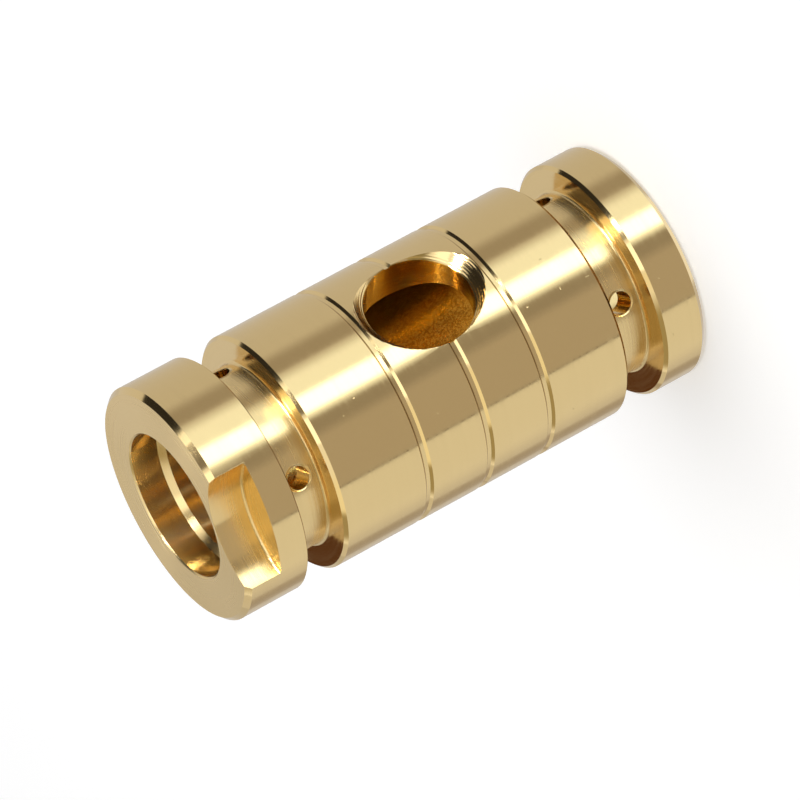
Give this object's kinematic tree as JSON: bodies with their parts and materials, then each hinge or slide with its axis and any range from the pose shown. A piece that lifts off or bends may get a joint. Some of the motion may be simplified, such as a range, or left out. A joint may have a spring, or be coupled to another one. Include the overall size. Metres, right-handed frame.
{
  "type": "ported sleeve",
  "caption": "Turned brass sleeve with a stepped bore, two necks with radial holes, a countersunk cross port, shallow barrel grooves and a scallop in one collar.",
  "frame": {"origin": "centre of the sleeve's rear face, on the surface that it stands on", "axes": "+Z along the sleeve's axis towards the scalloped front end, -Y out of the cross port"},
  "size_m": [0.03, 0.03, 0.065],
  "materials": {
    "turned_brass": "fine turned"
  },
  "bodies": {
    "root": {"turned_sleeve": "turned_brass"}
  },
  "joints": []
}
